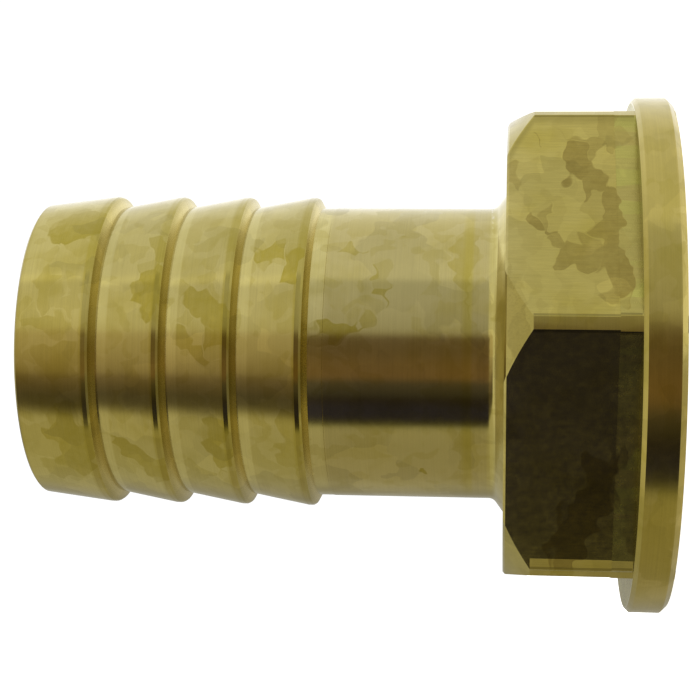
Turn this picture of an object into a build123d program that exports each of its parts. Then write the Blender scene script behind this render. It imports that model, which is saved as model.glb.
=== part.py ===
"""Brass hose tail: a barbed spigot for a hose of 25 mm bore, with a flanged hexagon that holds a G1 female thread.

The fitting is turned and milled from one bar, so it is one solid. +Z runs along its axis, from the flange's end
face at z = 0, where the pipe thread enters, to the tip that goes into the hose.
"""

from build123d import *
import math
import os

# Thread end: the hole is cut at the thread's major diameter
thread_d = 33.25
thread_wall = 2.875
mouth_chamfer = 0.9
seat_t = 3.15

# Flange and hexagon
flange_rim = 0.44
flange_t = 3.39
flange_end_chamfer = 0.5
flange_edge_break = 0.35
hex_length = 10.63
corner_trim = 0.29
nut_chamfer_depth = 1.8
nut_chamfer_height = 2.25
face_edge_break = 0.2

# Land that the hexagon's cutter leaves beside the flange
land_width = 1.75
land_height = 0.05

# Hose end
flow_bore_d = 20.5
hose_wall = 2.67
neck_length = 15.16
neck_step = 0.03
neck_groove_width = 1.24
neck_foot_run = 0.95
neck_foot_rise = 1.3
neck_foot_r = 0.8
seat_chamfer = 0.6
bore_tip_chamfer = 0.4

# Barbs
barb_count = 4
barb_pitch = 6.0
tip_barb_length = 6.93
barb_height = 0.95
barb_back_run = 0.5
crest_land = 0.5
crest_edge_break = 0.12
tip_height = 0.2
tip_edge_break = 0.15

# Sizes worked out from those above
hex_af = thread_d + 2 * thread_wall
corner_d = hex_af / math.cos(math.radians(30)) - 2 * corner_trim
flange_d = corner_d + 2 * flange_rim
nut_chamfer_d = corner_d - 2 * nut_chamfer_depth
hex_face_z = flange_t + hex_length
thread_depth = hex_face_z - seat_t
barb_root_r = flow_bore_d / 2 + hose_wall
neck_r = barb_root_r + neck_step
crest_r = barb_root_r + barb_height
tip_r = barb_root_r + tip_height
neck_end_z = hex_face_z + neck_length
first_barb_z = neck_end_z + neck_groove_width
tip_z = first_barb_z + (barb_count - 1) * barb_pitch + tip_barb_length


def barb_outline():
    """Corners of the barbs' outline as (radius, height), from the neck's end up to the tip."""
    corners = []
    for index in range(barb_count):
        foot_z = first_barb_z + index * barb_pitch
        crest_z = foot_z + barb_back_run
        corners.append((barb_root_r, foot_z))
        corners.append((crest_r, crest_z))
        corners.append((crest_r, crest_z + crest_land))
    corners.append((tip_r, tip_z))
    return corners


def at_radius(vertices, radius):
    """The vertices of a profile that lie at one radius."""
    return vertices.filter_by(lambda vertex: math.isclose(vertex.X, radius, abs_tol=1e-6))


with BuildPart() as hose_tail:
    # Hexagon, a little wider on the land beside the flange, with corners on the Y axis
    with BuildSketch():
        RegularPolygon(hex_af / 2, 6, major_radius=False, rotation=30)
    extrude(amount=hex_face_z)
    with BuildSketch():
        RegularPolygon(hex_af / 2 + land_height, 6, major_radius=False, rotation=30)
    extrude(amount=flange_t + land_width)

    # Its corners are turned to one diameter and chamfered as a nut's are
    with BuildSketch(Plane.XZ):
        with BuildLine():
            Polyline(
                (0, 0),
                (corner_d / 2, 0),
                (corner_d / 2, hex_face_z - nut_chamfer_height),
                (nut_chamfer_d / 2, hex_face_z),
                (0, hex_face_z),
                close=True,
            )
        make_face()
    revolve(axis=Axis.Z, mode=Mode.INTERSECT)
    face_rim = edges().group_by(Axis.Z)[-1]
    chamfer(face_rim, face_edge_break)

    # Flange, with a chamfer at the end face and a broken edge towards the hexagon
    with BuildSketch(Plane.XZ):
        with Locations((flange_d / 4, flange_t / 2)):
            Rectangle(flange_d / 2, flange_t)
        rim = at_radius(vertices(), flange_d / 2).sort_by(Axis.Y)
        chamfer(rim[0], flange_end_chamfer)
        rim = at_radius(vertices(), flange_d / 2).sort_by(Axis.Y)
        chamfer(rim[-1], flange_edge_break)
    revolve(axis=Axis.Z)

    # Neck and barbs, turned in one profile
    with BuildSketch(Plane.XZ):
        with BuildLine():
            Polyline(
                (0, flange_t),
                (neck_r + neck_foot_rise, flange_t),
                (neck_r + neck_foot_rise, hex_face_z),
                (neck_r, hex_face_z + neck_foot_run),
                (neck_r, neck_end_z - neck_step),
                (barb_root_r, neck_end_z),
                *barb_outline(),
                (0, tip_z),
                close=True,
            )
        make_face()
        crest_corners = at_radius(vertices(), crest_r).sort_by(Axis.Y)
        chamfer(crest_corners[::2], crest_edge_break)
        chamfer(at_radius(vertices(), tip_r), tip_edge_break)
        neck_foot = at_radius(vertices(), neck_r).sort_by(Axis.Y)[0]
        fillet(neck_foot, neck_foot_r)
    revolve(axis=Axis.Z)

    # Thread hole with its flat seat, and the flow bore through to the tip
    with BuildSketch(Plane.XZ):
        with BuildLine():
            Polyline(
                (0, 0),
                (thread_d / 2 + mouth_chamfer, 0),
                (thread_d / 2, mouth_chamfer),
                (thread_d / 2, thread_depth),
                (flow_bore_d / 2 + seat_chamfer, thread_depth),
                (flow_bore_d / 2, thread_depth + seat_chamfer),
                (flow_bore_d / 2, tip_z - bore_tip_chamfer),
                (flow_bore_d / 2 + bore_tip_chamfer, tip_z),
                (0, tip_z),
                close=True,
            )
        make_face()
    revolve(axis=Axis.Z, mode=Mode.SUBTRACT)

os.makedirs("parts", exist_ok=True)
hose_tail.part.label = "hose_tail"
export_step(hose_tail.part, "parts/hose_tail.step")
print(f"hexagon {hex_af:.2f} across flats, corners {corner_d:.2f}, flange {flange_d:.2f}")
print(f"neck {2 * neck_r:.2f}, crests {2 * crest_r:.2f}, length {tip_z:.2f}, thread depth {thread_depth:.2f}")
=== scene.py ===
"""Looks of a brass hose tail: a barbed spigot on a flanged hexagon with a female pipe thread.

Lengths are named in millimetres and turned into Blender's metres with MM. The tail stands on its flange,
with its axis on Z and two of the hexagon's corners on Y. Degrees round Z count from the side that faces the
camera, minus on the camera's upper side and plus on its lower. A pair of numbers says where a fade starts
and where it is full, or a least and a greatest value.
"""

import math
from collections import namedtuple

import bpy
from mathutils import Matrix, Vector


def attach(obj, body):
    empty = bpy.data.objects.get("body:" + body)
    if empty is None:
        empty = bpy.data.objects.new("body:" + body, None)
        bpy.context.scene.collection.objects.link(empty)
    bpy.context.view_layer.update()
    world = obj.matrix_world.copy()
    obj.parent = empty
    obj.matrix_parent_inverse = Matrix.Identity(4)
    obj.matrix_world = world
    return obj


MM = 0.001

# The tail's own sizes
FLANGE_T = 3.39
LAND_WIDTH = 1.75
HEX_FACE_Z = 14.02
CORNER_R = 22.22
CHAMFER_DEPTH = 1.8
CHAMFER_HEIGHT = 2.25
CHAMFER_FOOT_Z = HEX_FACE_Z - CHAMFER_HEIGHT
FIRST_BARB_Z = 30.42
BARB_PITCH = 6.0
BARB_COUNT = 4

# Radii that tell the tail's surfaces apart in the shading, and how far one fades into the next
INSIDE_HOLLOW_R = 11.0
OUTSIDE_HOLE_R = (18.0, 18.5)
INSIDE_FLATS_R = 19.0
TURNED_CORNER_DEPTH = 0.06
EDGE_FADE = 0.02
BORE_FADE = 0.5

# The thread's ridge, which is a separate piece in the hole
THREAD_MAJOR_D = 33.25
THREAD_MINOR_D = 30.29
THREAD_PITCH = 2.309
THREAD_START_Z = 0.95
THREAD_END_Z = 9.9
RIDGE_FOOT = 0.12
RIDGE_BASE = 1.93
RIDGE_CREST = 0.5
RIDGE_ROUND = 0.13
RIDGE_ROUND_STEPS = 3
STEPS_ROUND = 96
SMOOTH_DEGREES = 30

# Camera
SENSOR_WIDTH = 36
NEAR_CLIP = 10
CAMERA_DISTANCE = 155.7
CAMERA_LENS = 88.46
AXIS_POINT_Z = 28.05
AXIS_BELOW_CENTRE = 0.155
CORNER_TURN = 6.28
CAMERA_TILT = 5.5
CAMERA_ROLL = 0.68

# Brass in each zone along the tail, as height and colour, with a painted highlight on the first barb's root
ZONES = (
    (0.0, (0.56, 0.46, 0.15)),
    (0.42, (0.56, 0.46, 0.15)),
    (0.5, (0.44, 0.36, 0.1)),
    (3.35, (0.44, 0.36, 0.1)),
    (3.45, (0.41, 0.34, 0.09)),
    (11.5, (0.405, 0.34, 0.095)),
    (14.0, (0.43, 0.365, 0.12)),
    (14.1, (0.56, 0.48, 0.18)),
    (15.2, (0.52, 0.45, 0.16)),
    (15.6, (0.45, 0.385, 0.155)),
    (16.7, (0.45, 0.385, 0.155)),
    (16.85, (0.44, 0.37, 0.1)),
    (17.45, (0.44, 0.37, 0.105)),
    (17.6, (0.455, 0.39, 0.155)),
    (29.1, (0.455, 0.39, 0.16)),
    # Painted highlight: the root just below the first barb is lighter up to the next height
    (29.25, (0.56, 0.49, 0.2)),
    (30.35, (0.56, 0.49, 0.2)),
    (30.5, (0.46, 0.395, 0.145)),
    (55.1, (0.48, 0.41, 0.14)),
    (55.25, (0.27, 0.22, 0.06)),
    (55.35, (0.27, 0.22, 0.06)),
)
TARNISHED = (0.335, 0.27, 0.036, 1)
BROWN = (0.2, 0.145, 0.03, 1)
SCRAPED = (0.6, 0.5, 0.17, 1)
LAND_GREEN = (0.39, 0.37, 0.09, 1)
LAND_BROWN = (0.36, 0.3, 0.09, 1)
CORNER_LINE = (0.11, 0.085, 0.02, 1)
# Painted highlight on the barbs' roots
ROOT_HIGHLIGHT = (0.6, 0.53, 0.22, 1)
BORE_BRASS = (0.4, 0.34, 0.12, 1)

# Factors on X, Y and Z that draw a pattern out into turned rings, milled lines and the cutter's blocks
RINGS_FACTORS = (0.1, 0.1, 9.0)
LINES_FACTORS = (7.0, 7.0, 0.5)
BLOCKS_FACTORS = (0.75, 0.75, 0.08)

# How much the tools' lines lighten and darken the brass, and how deep they are
TURNED_SHADE = 0.04
MILLED_SHADE_EXTRA = 0.02
LINES_DEPTH = 0.02
LINES_STRENGTH = 0.1

# Roughness of the polished brass, and what is added to it elsewhere
POLISHED_ROUGHNESS = (0.1, 0.15)
MILLED_ROUGHER = 0.1
SCRAPED_ROUGHER = 0.15
CUT_ROUGHER = 0.1
FLANGE_ROUGHER = 0.06

# Tarnish and the placed painted reflection: how far noise moves outlines, which cells have tarnish, and how
# strong it is
WIDE_CELLS_WARP = (3.0, 3.0, 3.0)
SKIN_WARP = (2.2, 2.2, 0.0)
SKIN_MM_PER_DEGREE = 0.226
CLOUDY = (0.45, 0.75)
CLOUDS_STRENGTH = 0.45
TONES = (0.92, 1.07)
SCATTERED_CELLS = (0.62, 0.68)
SCATTERED_TURN = (62.0, 72.0)
SCATTERED_STRENGTH = 0.65
PATCH_EDGE = (1.25, 0.85)
FLECK_CELLS = (0.55, 0.7)
FLECKS_STRENGTH = 0.26
HEXAGON_FLECKS_CHANGE = -0.1
HEXAGON_STAIN_AND_REFLECTION_CHANGE = -0.25
MOTTLE = (0.8, 1.0)

# Tarnish patches on the side that faces the camera, and painted dark reflection on the lower flat, each as
# degrees round Z, height, half its length, half its width, lean of its length from the level, and strength
TARNISH_AND_REFLECTION_PATCHES = (
    (-51.5, 8.0, 1.35, 1.7, 0, 1.0),
    (-46.5, 6.7, 1.2, 0.9, 0, 0.9),
    (-31, 5.75, 4.2, 0.8, 0, 0.9),
    (-34.8, 10.9, 0.45, 0.6, 0, 0.6),
    (-30.8, 10.6, 0.55, 0.5, 0, 0.9),
    (-27.5, 9.9, 0.5, 0.6, 0, 0.7),
    (-23.6, 8.1, 0.9, 2.1, 0, 0.8),
    (-57.9, 11.6, 0.3, 0.6, 0, 0.7),
    (-47.3, 13.4, 0.4, 0.5, 0, 0.6),
    (-35, 11.9, 0.4, 0.5, 0, 0.9),
    (-58.5, 7.4, 2.2, 0.3, -69, 0.7),
    (-60, 6.0, 1.0, 1.0, 0, 0.5),
    (-37, 6.9, 2.6, 0.6, 0, 0.35),
    (-17, 4.5, 0.9, 1.3, 0, 1.0),
    (-59, 4.3, 0.8, 0.8, 0, 0.5),
    (-10, 13.4, 3.0, 1.0, 0, 0.35),
    # Painted dark reflection on the hexagon's lower flat, not tarnish: the next two patches
    (42, 7.9, 4.4, 1.5, 38, 1.0),
    (31.5, 6.4, 2.4, 1.0, 38, 1.0),
    (-39.6, 34.1, 1.7, 1.4, 20, 0.9),
    (-31.4, 31.9, 1.6, 0.7, 0, 0.9),
    (-52, 32.6, 1.0, 1.4, 0, 0.4),
    (-15, 38.7, 2.8, 1.1, -50, 0.8),
    (0, 39.8, 1.9, 0.6, -50, 0.7),
    (-5, 37.4, 0.9, 1.2, 0, 0.8),
    (-22.9, 43.7, 2.2, 1.2, 0, 0.9),
    (-38, 43.2, 1.4, 0.7, 0, 0.6),
    (-52, 50.6, 2.8, 2.8, -30, 0.95),
    (-60, 52.5, 1.5, 2.0, 0, 0.5),
    (-10, 52.6, 1.1, 2.0, 0, 0.5),
    (-24, 53.0, 2.0, 0.6, 0, 0.4),
    (5, 51.5, 1.6, 1.5, 20, 0.5),
    (36, 50.8, 3.4, 2.0, 0, 0.8),
    (50, 52.5, 1.2, 1.6, 0, 0.5),
    (40.3, 45.6, 3.4, 0.9, -55, 0.8),
    (50, 43.5, 1.5, 0.9, 0, 0.8),
    (38.3, 38.0, 3.0, 0.9, 0, 0.8),
    (52, 40.5, 1.3, 1.0, 0, 0.4),
    (37.6, 31.9, 3.4, 0.9, 0, 0.6),
    (26, 34.5, 0.8, 0.9, 0, 0.4),
    (-21.4, 23.9, 1.2, 0.45, 0, 0.8),
    (-32.9, 24.9, 0.55, 0.55, 0, 0.7),
    (-41.6, 27.0, 0.4, 1.2, 0, 0.6),
    (-50.5, 22.6, 0.5, 0.7, 0, 0.6),
    (-12.8, 25.6, 0.4, 0.5, 0, 0.6),
    (52.4, 21.1, 0.4, 0.5, 0, 1.0),
    (-9, 27.5, 1.0, 2.4, 0, 0.9),
    (-32, 17.4, 4.6, 0.7, 0, 0.5),
    (40, 17.0, 2.3, 0.9, 0, 0.35),
    (42, 1.7, 3.2, 2.0, 0, 0.5),
    (-18, 1.2, 2.0, 0.8, 0, 0.35),
)

# Bands round each barb, as heights above the foot of its steep back
BACK_END = 0.4
CREST_BAND_END = 1.05
CREST_BAND_STRENGTH = 0.15
CREST_CLOUDS_STRENGTH = 0.7
LAST_BAND_MARGIN = 0.1

# Painted highlight, lighter brass at the foot of each slope but the last
ROOT_HIGHLIGHT_WIDTH = 0.9
ROOT_HIGHLIGHT_Z = (49.5, 48.5)
ROOT_HIGHLIGHT_STRENGTH = 0.45

# How strongly the strip beside the flange takes its own colours
LAND_STRENGTH = 0.75

# Dark lines along the hexagon's turned corners
CORNER_LINE_START_Z = FLANGE_T + 0.12
CORNER_LINE_WIDTH = 0.11
CORNER_LINE_INSET = 0.02
CORNER_LINE_STRENGTH = 0.5

# Duller brass beside the turned corner and chamfer of the upper flats, as a distance in from them
DULL_EDGE_START_Z = FLANGE_T + 0.1
DULL_EDGE_RISE = (0.02, 0.14)
DULL_EDGE_FALL = (0.65, 0.2)
DULL_EDGE_TURN = (-30.0, -42.0)
DULL_EDGE_STRENGTH = 0.28

# The rolled edge on the camera's lower side: its drop, and the long rise back to the flat
ROLLED_START_Z = FLANGE_T + 0.05
ROLLED_DEPTH = 0.26
ROLLED_TURN = (50.0, 52.6)
UNROLLED_TURN = (60.0, 110.0)

# What the brass mirrors, as degrees round Z and a colour: LOW_ROOM level with the tail, HIGH_ROOM above it
LOW_ROOM = (
    (-180, (1.35, 1.35, 1.32)),
    (-140, (1.2, 1.2, 1.18)),
    (-115, (1.05, 1.05, 1.05)),
    (-98, (1.0, 1.0, 1.0)),
    (-60, (1.02, 1.02, 1.02)),
    (-56, (0.74, 0.74, 0.74)),
    (-38, (0.73, 0.72, 0.72)),
    (-18, (0.6, 0.58, 0.54)),
    (-15, (0.52, 0.48, 0.4)),
    (-11, (0.22, 0.165, 0.12)),
    (0, (0.21, 0.15, 0.095)),
    (10, (0.26, 0.175, 0.1)),
    (19, (0.27, 0.175, 0.1)),
    (24, (0.12, 0.1, 0.08)),
    (33, (0.07, 0.062, 0.055)),
    (37, (0.04, 0.032, 0.03)),
    (44, (0.039, 0.035, 0.066)),
    (52, (0.039, 0.035, 0.066)),
    (55, (0.055, 0.05, 0.05)),
    (58, (0.13, 0.12, 0.07)),
    (61, (0.44, 0.42, 0.27)),
    (64, (0.54, 0.5, 0.36)),
    (78, (0.5, 0.46, 0.33)),
    (115, (0.5, 0.46, 0.34)),
    (130, (0.54, 0.51, 0.4)),
    (150, (0.42, 0.4, 0.32)),
    (176, (0.45, 0.44, 0.4)),
    (180, (1.1, 1.1, 1.1)),
)
HIGH_ROOM = (
    (-180, (1.3, 1.3, 1.28)),
    (-140, (1.15, 1.15, 1.13)),
    (-98, (1.0, 1.0, 1.0)),
    (-64, (1.0, 0.99, 0.96)),
    (-60, (1.16, 1.14, 1.05)),
    (-57, (1.12, 1.1, 1.0)),
    (-54, (0.88, 0.86, 0.8)),
    (-28, (0.93, 0.9, 0.8)),
    (-17, (0.85, 0.8, 0.65)),
    (-12, (0.68, 0.59, 0.44)),
    (0, (0.6, 0.51, 0.36)),
    (10, (0.51, 0.42, 0.29)),
    (18, (0.42, 0.34, 0.23)),
    (23, (0.26, 0.2, 0.14)),
    (30, (0.18, 0.14, 0.1)),
    (38, (0.12, 0.1, 0.075)),
    (46, (0.14, 0.12, 0.085)),
    (51, (0.28, 0.25, 0.17)),
    (56, (0.56, 0.52, 0.37)),
    (60, (0.62, 0.58, 0.44)),
    (130, (0.58, 0.56, 0.43)),
    (150, (0.48, 0.46, 0.38)),
    (170, (0.5, 0.5, 0.45)),
    (180, (1.1, 1.1, 1.1)),
)
CEILING = (0.86, 0.83, 0.72, 1)
BELOW = (0.82, 0.77, 0.63, 1)
BELOW_STRENGTH = 0.3
WHITE = (1, 1, 1, 1)
WHITE_STRENGTH = 1.1

# How steeply a mirrored ray climbs, as its part along Z, where each part of the room fades in
HIGH_ROOM_CLIMB = (0.17, 0.42)
CEILING_CLIMB = (0.75, 0.96)
BELOW_CLIMB = (-0.3, -0.7)

FLOOR_SIZE = 3
FLOOR_GREY = (0.9, 0.9, 0.9, 1)
FLOOR_GLOW = 1.1

# A shaded point on the tail: its place, height and radius in millimetres, its degrees round Z, and how far
# it lies on the hexagon's flats and in the bore, 0 to 1
Spot = namedtuple("Spot", "place z radius turn in_hexagon in_bore")


def place_camera():
    """The camera lies on its side and looks at the corner on -Y, with the tip to its left."""
    turn = Matrix.Rotation(math.radians(-CORNER_TURN), 3, "Z")
    on_its_side = Matrix(((0, 1, 0), (0, 0, -1), (-1, 0, 0)))
    tilt = Matrix.Rotation(math.radians(CAMERA_TILT), 3, "Y")
    roll = Matrix.Rotation(math.radians(CAMERA_ROLL), 3, "Z")
    turned = turn @ on_its_side @ tilt @ roll
    axis_point = Vector((0, 0, AXIS_POINT_Z))
    to_axis_point = turned @ Vector((0, -AXIS_BELOW_CENTRE, -CAMERA_DISTANCE))
    bpy.ops.object.camera_add()
    camera = bpy.context.object
    camera.name = "camera"
    camera.data.sensor_width = SENSOR_WIDTH
    camera.data.lens = CAMERA_LENS
    camera.data.clip_start = NEAR_CLIP * MM
    camera.matrix_world = turned.to_4x4()
    camera.location = (axis_point - to_axis_point) * MM
    bpy.context.scene.camera = camera


def adder(tree):
    """A function that adds a shader node to an emptied tree, its inputs set or linked by name or number."""
    tree.nodes.clear()

    def add(kind, settings=None, **inputs):
        node = tree.nodes.new("ShaderNode" + kind)
        for key, value in (settings or {}).items():
            setattr(node, key, value)
        for key, value in inputs.items():
            by_number = key[1:].isdigit()
            socket = node.inputs[int(key[1:]) if by_number else key.replace("_", " ")]
            if isinstance(value, bpy.types.NodeSocket):
                tree.links.new(value, socket)
            else:
                socket.default_value = value
        return node

    return add


def maths(add, operation, first, second=0.0, third=0.0):
    """One Math node's answer."""
    return add("Math", {"operation": operation}, _0=first, _1=second, _2=third).outputs[0]


def product(add, first, *others):
    """Numbers multiplied together."""
    for other in others:
        first = maths(add, "MULTIPLY", first, other)
    return first


def scaled(add, value, slope, start):
    """A value times a slope, plus a start."""
    return maths(add, "MULTIPLY_ADD", value, slope, start)


def rest_of(add, share, whole=1.0):
    """What a share leaves of the whole."""
    return maths(add, "SUBTRACT", whole, share)


def stretched(add, point, factors):
    """A point with X, Y and Z each multiplied by its own factor."""
    return add("VectorMath", {"operation": "MULTIPLY"}, _0=point, _1=factors).outputs["Vector"]


def moved(add, point, shift, reach):
    """A point moved by a shift times its reach along X, Y and Z."""
    node = add("VectorMath", {"operation": "MULTIPLY_ADD"}, _0=shift, _1=reach, _2=point)
    return node.outputs["Vector"]


def between(add, value, start, end):
    """0 at start and before it, 1 at end and past it, with a smooth rise."""
    settings = {"interpolation_type": "SMOOTHSTEP"}
    return add("MapRange", settings, Value=value, From_Min=start, From_Max=end).outputs["Result"]


def straight(add, value, start, end, low, high):
    """Low at start and before it, high at end and past it, with a straight rise."""
    node = add("MapRange", Value=value, From_Min=start, From_Max=end, To_Min=low, To_Max=high)
    return node.outputs["Result"]


def band(add, value, start, end, fade):
    """1 between start and end, falling to 0 over the fade outside them."""
    rise = between(add, value, start - fade, start)
    fall = between(add, value, end + fade, end)
    return product(add, rise, fall)


def mixed(add, share, first, second, blend="MIX"):
    """Two colours mixed by a share."""
    settings = {"data_type": "RGBA", "blend_type": blend}
    return add("Mix", settings, _0=share, _6=first, _7=second).outputs[2]


def noise(add, point, scale, detail, roughness=0.5, output="Fac"):
    """One Noise Texture's answer."""
    node = add("TexNoise", Vector=point, Scale=scale, Detail=detail, Roughness=roughness)
    return node.outputs[output]


def ramp(add, share, stops):
    """A colour ramp through stops of place and colour."""
    node = add("ValToRGB", Fac=share)
    elements = node.color_ramp.elements
    elements.remove(elements[1])
    elements[0].position = stops[0][0]
    elements[0].color = (*stops[0][1], 1)
    for place, colour in stops[1:]:
        elements.new(place).color = (*colour, 1)
    return node.outputs["Color"]


def degrees_round(add, x, y):
    """Degrees round Z from the side that faces the camera, for a place or a direction."""
    turned = maths(add, "ARCTAN2", x, maths(add, "MULTIPLY", y, -1.0))
    degrees = maths(add, "MULTIPLY", turned, -180 / math.pi)
    return maths(add, "SUBTRACT", degrees, CORNER_TURN)


def build_room():
    """White for the camera. In reflections, a brown and a black board stand on the camera's side."""
    world = bpy.data.worlds.new("room")
    bpy.context.scene.world = world
    world.use_nodes = True
    add = adder(world.node_tree)
    looking = add("TexCoord").outputs["Generated"]
    split = add("SeparateXYZ", Vector=looking)
    degrees = degrees_round(add, split.outputs["X"], split.outputs["Y"])
    unlimited = {"clamp": False}
    share = add("MapRange", unlimited, Value=degrees, From_Min=-180, From_Max=180).outputs["Result"]
    share = maths(add, "FRACT", share)
    low = ramp(add, share, [((place + 180) / 360, colour) for place, colour in LOW_ROOM])
    high = ramp(add, share, [((place + 180) / 360, colour) for place, colour in HIGH_ROOM])
    climb = split.outputs["Z"]
    seen = mixed(add, between(add, climb, *HIGH_ROOM_CLIMB), low, high)
    seen = mixed(add, between(add, climb, *CEILING_CLIMB), seen, CEILING)
    seen = mixed(add, product(add, between(add, climb, *BELOW_CLIMB), BELOW_STRENGTH), seen, BELOW)
    mirrored = add("Background", Color=seen)
    white = add("Background", Color=WHITE, Strength=WHITE_STRENGTH)
    camera_ray = add("LightPath").outputs["Is Camera Ray"]
    shown = add("MixShader", _0=camera_ray, _1=mirrored.outputs[0], _2=white.outputs[0])
    add("OutputWorld", Surface=shown.outputs[0])


def find_spot(add):
    """Where the shaded point lies on the tail."""
    metres = add("TexCoord").outputs["Object"]
    place = add("VectorMath", {"operation": "SCALE"}, _0=metres, Scale=1 / MM).outputs["Vector"]
    split = add("SeparateXYZ", Vector=place)
    x = split.outputs["X"]
    y = split.outputs["Y"]
    z = split.outputs["Z"]
    radius = maths(add, "SQRT", maths(add, "MULTIPLY_ADD", x, x, maths(add, "MULTIPLY", y, y)))
    flats = band(add, radius, INSIDE_FLATS_R, CORNER_R - TURNED_CORNER_DEPTH, EDGE_FADE)
    in_hexagon = product(add, band(add, z, FLANGE_T, HEX_FACE_Z, EDGE_FADE), flats)
    hollow = between(add, radius, INSIDE_HOLLOW_R + BORE_FADE, INSIDE_HOLLOW_R)
    in_bore = product(add, hollow, between(add, z, HEX_FACE_Z - BORE_FADE, HEX_FACE_Z))
    return Spot(place, z, radius, degrees_round(add, x, y), in_hexagon, in_bore)


def tool_lines(add, spot):
    """The tools' lines: rings where the tail is turned, and lines along Z where the hexagon is milled."""
    rings = noise(add, stretched(add, spot.place, RINGS_FACTORS), scale=1.0, detail=3.0)
    lines = noise(add, stretched(add, spot.place, LINES_FACTORS), scale=1.0, detail=4.0)
    return add("Mix", {"data_type": "FLOAT"}, _0=spot.in_hexagon, _2=rings, _3=lines).outputs[0]


def placed_shares(add, skin):
    """How strong the placed tarnish and painted reflection are, 0 to 1, on the unrolled skin of degrees and
    height.
    """
    strongest = 0.0
    for turn, height, half_length, half_width, lean, strength in TARNISH_AND_REFLECTION_PATCHES:
        centre = (turn * SKIN_MM_PER_DEGREE, height, 0)
        patch = add("Mapping", {"vector_type": "TEXTURE"}, Vector=skin, Location=centre,
                    Rotation=(0, 0, math.radians(lean)), Scale=(half_length, half_width, 1))
        away = add("VectorMath", {"operation": "LENGTH"}, _0=patch.outputs[0]).outputs["Value"]
        share = product(add, between(add, away, *PATCH_EDGE), strength)
        strongest = maths(add, "MAXIMUM", strongest, share)
    return strongest


def tarnish_and_reflection_shares(add, spot, fine):
    """Tarnish and painted reflection in angular patches: their share, the placed patches' share, and a tone
    for all the brass.
    """
    warp = noise(add, spot.place, scale=0.5, detail=1.0, roughness=0.4, output="Color")
    warp = add("VectorMath", {"operation": "SUBTRACT"}, _0=warp, _1=(0.5, 0.5, 0.5)).outputs["Vector"]
    soft = {"feature": "SMOOTH_F1"}
    bent = moved(add, spot.place, warp, WIDE_CELLS_WARP)
    wide_cells = add("TexVoronoi", soft, Vector=bent, Scale=0.27, Smoothness=0.06)
    wide_cell = add("SeparateColor", Color=wide_cells.outputs["Color"])
    tone = straight(add, wide_cell.outputs[1], 0.1, 0.9, *TONES)

    past_placed = between(add, maths(add, "ABSOLUTE", spot.turn), *SCATTERED_TURN)
    scattered = between(add, wide_cell.outputs[0], *SCATTERED_CELLS)
    scattered = product(add, scattered, past_placed, SCATTERED_STRENGTH)

    skin = add("CombineXYZ", X=product(add, spot.turn, SKIN_MM_PER_DEGREE), Y=spot.z).outputs[0]
    bent_skin = moved(add, skin, warp, SKIN_WARP)
    small_cells = add("TexVoronoi", soft, Vector=bent_skin, Scale=0.85, Smoothness=0.35)
    placed = placed_shares(add, small_cells.outputs["Position"])

    small_cell = add("SeparateColor", Color=small_cells.outputs["Color"])
    flecks_strength = scaled(add, spot.in_hexagon, HEXAGON_FLECKS_CHANGE, FLECKS_STRENGTH)
    flecks = product(add, between(add, small_cell.outputs[0], *FLECK_CELLS), flecks_strength)

    share = maths(add, "MAXIMUM", maths(add, "MAXIMUM", scattered, placed), flecks)
    share = product(add, share, straight(add, fine, 0.35, 0.65, *MOTTLE))
    return share, placed, tone


def add_barb_bands(add, spot, colour, clouds):
    """Yellow-brown along each crest, scraped metal on its back and a painted highlight at its slope's foot.
    """
    step = maths(add, "WRAP", spot.z, FIRST_BARB_Z + BARB_PITCH, FIRST_BARB_Z)
    last_z = FIRST_BARB_Z + BARB_COUNT * BARB_PITCH - LAST_BAND_MARGIN
    on_barbs = band(add, spot.z, FIRST_BARB_Z, last_z, fade=0.05)
    on_barbs = product(add, on_barbs, rest_of(add, spot.in_bore))

    slope_foot = FIRST_BARB_Z + BARB_PITCH
    # Painted highlight: lighter brass on the root at each slope's foot
    root_highlight = product(add, band(add, step, slope_foot - ROOT_HIGHLIGHT_WIDTH, slope_foot, fade=0.15),
                   between(add, spot.z, *ROOT_HIGHLIGHT_Z), on_barbs, ROOT_HIGHLIGHT_STRENGTH)
    colour = mixed(add, root_highlight, colour, ROOT_HIGHLIGHT)

    back = band(add, step, FIRST_BARB_Z, FIRST_BARB_Z + BACK_END, fade=0.1)
    back = product(add, on_barbs, back)
    colour = mixed(add, back, colour, SCRAPED)

    crest = band(add, step, FIRST_BARB_Z + BACK_END, FIRST_BARB_Z + CREST_BAND_END, fade=0.25)
    crest_strength = scaled(add, clouds, CREST_CLOUDS_STRENGTH, CREST_BAND_STRENGTH)
    crest = product(add, on_barbs, crest, crest_strength)
    return mixed(add, crest, colour, TARNISHED), back


def add_land(add, spot, colour, placed):
    """The strip beside the flange, which the cutter leaves in blocks of green and brown."""
    land = product(add, spot.in_hexagon, band(add, spot.z, FLANGE_T, FLANGE_T + LAND_WIDTH, fade=0.03))
    land = product(add, land, rest_of(add, product(add, placed, LAND_STRENGTH), LAND_STRENGTH))
    blocks = add("TexVoronoi", Vector=stretched(add, spot.place, BLOCKS_FACTORS), Scale=1.0)
    block = add("SeparateColor", Color=blocks.outputs["Color"]).outputs[1]
    return mixed(add, land, colour, mixed(add, block, LAND_BROWN, LAND_GREEN)), land


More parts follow.
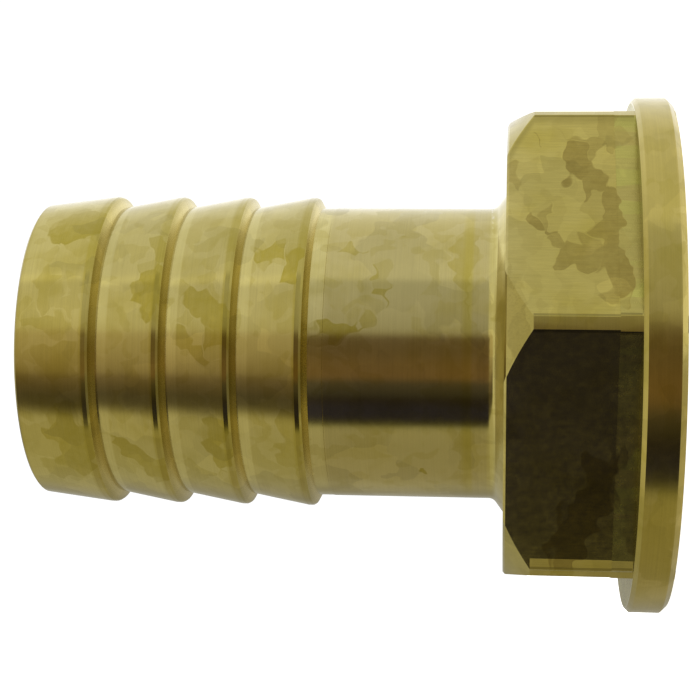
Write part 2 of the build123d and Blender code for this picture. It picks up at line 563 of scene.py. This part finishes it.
def add_edges(add, spot, colour):
    """Dark lines along the hexagon's turned corners, and duller brass along its upper edges."""
    line = band(add, spot.radius, CORNER_R - CORNER_LINE_WIDTH, CORNER_R - CORNER_LINE_INSET, EDGE_FADE)
    line = product(add, line, band(add, spot.z, CORNER_LINE_START_Z, CHAMFER_FOOT_Z, fade=0.05),
                   CORNER_LINE_STRENGTH)
    colour = mixed(add, line, colour, CORNER_LINE)

    past_foot = maths(add, "MAXIMUM", maths(add, "SUBTRACT", spot.z, CHAMFER_FOOT_Z), 0.0)
    turned_r = scaled(add, past_foot, -CHAMFER_DEPTH / CHAMFER_HEIGHT, CORNER_R)
    gap = maths(add, "SUBTRACT", turned_r, spot.radius)
    dull = product(add, between(add, gap, *DULL_EDGE_RISE), between(add, gap, *DULL_EDGE_FALL),
                   band(add, spot.z, DULL_EDGE_START_Z, HEX_FACE_Z, fade=0.05),
                   between(add, spot.turn, *DULL_EDGE_TURN), spot.in_hexagon, DULL_EDGE_STRENGTH)
    return mixed(add, dull, colour, CORNER_LINE)


def add_shade(add, spot, colour, lines, tone):
    """The tools' lines, lighter and darker, and the tone of each wide cell."""
    depth = scaled(add, spot.in_hexagon, MILLED_SHADE_EXTRA, TURNED_SHADE)
    darkest = rest_of(add, depth)
    lightest = maths(add, "ADD", 1.0, depth)
    colour = mixed(add, 1.0, colour, straight(add, lines, 0.3, 0.7, darkest, lightest), "MULTIPLY")
    return mixed(add, 1.0, colour, tone, "MULTIPLY")


def roughness_of(add, spot, fine, back, land):
    """Rougher where the tail is milled, scraped or cut, and on the flange."""
    rough = straight(add, fine, 0.3, 0.7, *POLISHED_ROUGHNESS)
    rough = scaled(add, spot.in_hexagon, product(add, fine, MILLED_ROUGHER), rough)
    rough = scaled(add, back, SCRAPED_ROUGHER, rough)
    rough = scaled(add, land, CUT_ROUGHER, rough)
    on_flange = between(add, spot.z, FLANGE_T + EDGE_FADE, FLANGE_T - EDGE_FADE)
    return scaled(add, on_flange, FLANGE_ROUGHER, rough)


def rolled_edge(add, spot):
    """The normal of the hexagon's corner on the camera's lower side, whose edge is rolled over."""
    strength = product(add, band(add, spot.z, ROLLED_START_Z, CHAMFER_FOOT_Z, EDGE_FADE),
                       between(add, spot.radius, *OUTSIDE_HOLE_R))
    fall = straight(add, spot.turn, *ROLLED_TURN, 1.0, 0.0)
    rise = straight(add, spot.turn, *UNROLLED_TURN, 0.0, 1.0)
    height = maths(add, "MAXIMUM", fall, rise)
    return add("Bump", Strength=strength, Distance=ROLLED_DEPTH * MM, Height=height).outputs["Normal"]


def build_brass():
    """Turned and milled brass with tarnish and painted reflection in patches, painted highlights at the
    barbs' roots, brown in the corners and lines from the tools.
    """
    material = bpy.data.materials.new("turned_brass")
    material.use_nodes = True
    add = adder(material.node_tree)
    spot = find_spot(add)
    lines = tool_lines(add, spot)
    clouds = noise(add, spot.place, scale=0.22, detail=3.0, roughness=0.6)
    fine = noise(add, spot.place, scale=1.6, detail=4.0, roughness=0.65)

    last_z = ZONES[-1][0]
    height_share = straight(add, spot.z, 0.0, last_z, 0.0, 1.0)
    colour = ramp(add, height_share, [(height / last_z, zone) for height, zone in ZONES])
    colour = mixed(add, spot.in_bore, colour, BORE_BRASS)
    cloudy = product(add, between(add, clouds, *CLOUDY), CLOUDS_STRENGTH)
    colour = mixed(add, cloudy, colour, TARNISHED)

    tarnish_and_reflection, placed, tone = tarnish_and_reflection_shares(add, spot, fine)
    # Tarnish and the placed painted dark reflection stain the brass, brown on the hexagon
    stain_and_reflection = mixed(add, spot.in_hexagon, TARNISHED, BROWN)
    stain_and_reflection_share = product(add, tarnish_and_reflection, scaled(add, spot.in_hexagon, HEXAGON_STAIN_AND_REFLECTION_CHANGE, 1.0))
    colour = mixed(add, stain_and_reflection_share, colour, stain_and_reflection)
    colour, back = add_barb_bands(add, spot, colour, clouds)
    colour, land = add_land(add, spot, colour, placed)
    colour = add_edges(add, spot, colour)
    colour = add_shade(add, spot, colour, lines, tone)

    normal = add("Bump", Strength=LINES_STRENGTH, Distance=LINES_DEPTH * MM, Height=lines,
                 Normal=rolled_edge(add, spot)).outputs["Normal"]
    shader = add("BsdfPrincipled", Base_Color=colour, Metallic=1.0,
                 Roughness=roughness_of(add, spot, fine, back, land), Normal=normal)
    add("OutputMaterial", Surface=shader.outputs[0])
    return material


def pick_points(piece, test):
    """Selects the points of a piece in edit mode that pass a test on their place."""
    bpy.ops.mesh.select_all(action="DESELECT")
    bpy.ops.object.mode_set(mode="OBJECT")
    for point in piece.data.vertices:
        point.select = test(point.co)
    bpy.ops.object.mode_set(mode="EDIT")


def cut_thread():
    """The ridge of the G1 thread: its section is screwed up the hole and trimmed square at both ends."""
    outer = THREAD_MAJOR_D / 2 + RIDGE_FOOT
    inner = THREAD_MINOR_D / 2
    turns = math.ceil((THREAD_END_Z - THREAD_START_Z) / THREAD_PITCH) + 2
    start_z = THREAD_START_Z - THREAD_PITCH
    bpy.ops.mesh.primitive_plane_add(size=1, location=((outer + inner) / 2 * MM, 0, start_z * MM),
                                     rotation=(math.pi / 2, 0, 0))
    ridge = bpy.context.object
    ridge.name = "thread_ridge"
    ridge.scale = ((outer - inner) * MM, RIDGE_BASE * MM, 1)
    bpy.ops.object.transform_apply(location=True, rotation=True, scale=True)
    bpy.ops.object.mode_set(mode="EDIT")
    bpy.ops.mesh.select_mode(type="VERT")
    pick_points(ridge, lambda place: place.x < (inner + outer) / 2 * MM)
    narrowing = RIDGE_CREST / RIDGE_BASE
    bpy.ops.transform.resize(value=(1, 1, narrowing), center_override=(inner * MM, 0, start_z * MM))
    bpy.ops.mesh.bevel(offset=RIDGE_ROUND * MM, segments=RIDGE_ROUND_STEPS, affect="VERTICES")
    bpy.ops.mesh.select_all(action="SELECT")
    bpy.ops.mesh.delete(type="ONLY_FACE")
    bpy.ops.object.mode_set(mode="OBJECT")
    screw = ridge.modifiers.new("screw", "SCREW")
    screw.axis = "Z"
    screw.angle = math.tau
    screw.screw_offset = THREAD_PITCH * MM
    screw.iterations = turns
    screw.steps = STEPS_ROUND
    screw.render_steps = STEPS_ROUND
    bpy.ops.object.modifier_apply(modifier="screw")
    bpy.ops.object.mode_set(mode="EDIT")
    for height, upwards in ((THREAD_START_Z, -1), (THREAD_END_Z, 1)):
        bpy.ops.mesh.select_all(action="SELECT")
        bpy.ops.mesh.bisect(plane_co=(0, 0, height * MM), plane_no=(0, 0, upwards), use_fill=True,
                            clear_outer=True, threshold=1e-7)
    bpy.ops.mesh.select_all(action="SELECT")
    bpy.ops.mesh.remove_doubles(threshold=1e-6)
    bpy.ops.mesh.normals_make_consistent(inside=False)
    bpy.ops.object.mode_set(mode="OBJECT")
    bpy.ops.object.shade_smooth_by_angle(angle=math.radians(SMOOTH_DEGREES))
    return ridge


def build_floor_paint():
    """Matt paint that glows, so that the floor stays white round the tail."""
    material = bpy.data.materials.new("pale_floor")
    material.use_nodes = True
    add = adder(material.node_tree)
    shader = add("BsdfPrincipled", Base_Color=FLOOR_GREY, Roughness=0.8, Specular_IOR_Level=0.2,
                 Emission_Color=FLOOR_GREY, Emission_Strength=FLOOR_GLOW)
    add("OutputMaterial", Surface=shader.outputs[0])
    return material


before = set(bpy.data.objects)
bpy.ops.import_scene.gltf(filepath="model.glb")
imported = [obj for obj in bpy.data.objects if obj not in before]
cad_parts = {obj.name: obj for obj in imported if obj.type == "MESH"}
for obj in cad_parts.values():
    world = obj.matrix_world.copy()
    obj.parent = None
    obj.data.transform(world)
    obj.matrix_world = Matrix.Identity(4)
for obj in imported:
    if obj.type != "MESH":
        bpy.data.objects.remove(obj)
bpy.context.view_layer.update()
bpy.ops.object.select_all(action="DESELECT")
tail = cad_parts["hose_tail"]
tail.data.materials.clear()
brass = build_brass()
tail.data.materials.append(brass)

thread = cut_thread()
thread.data.materials.append(brass)
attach(thread, "root")

place_camera()
build_room()

bpy.ops.mesh.primitive_plane_add(size=FLOOR_SIZE)
floor = bpy.context.object
floor.name = "floor"
floor.data.materials.append(build_floor_paint())
floor.visible_glossy = False

bpy.context.scene.view_settings.view_transform = "Standard"
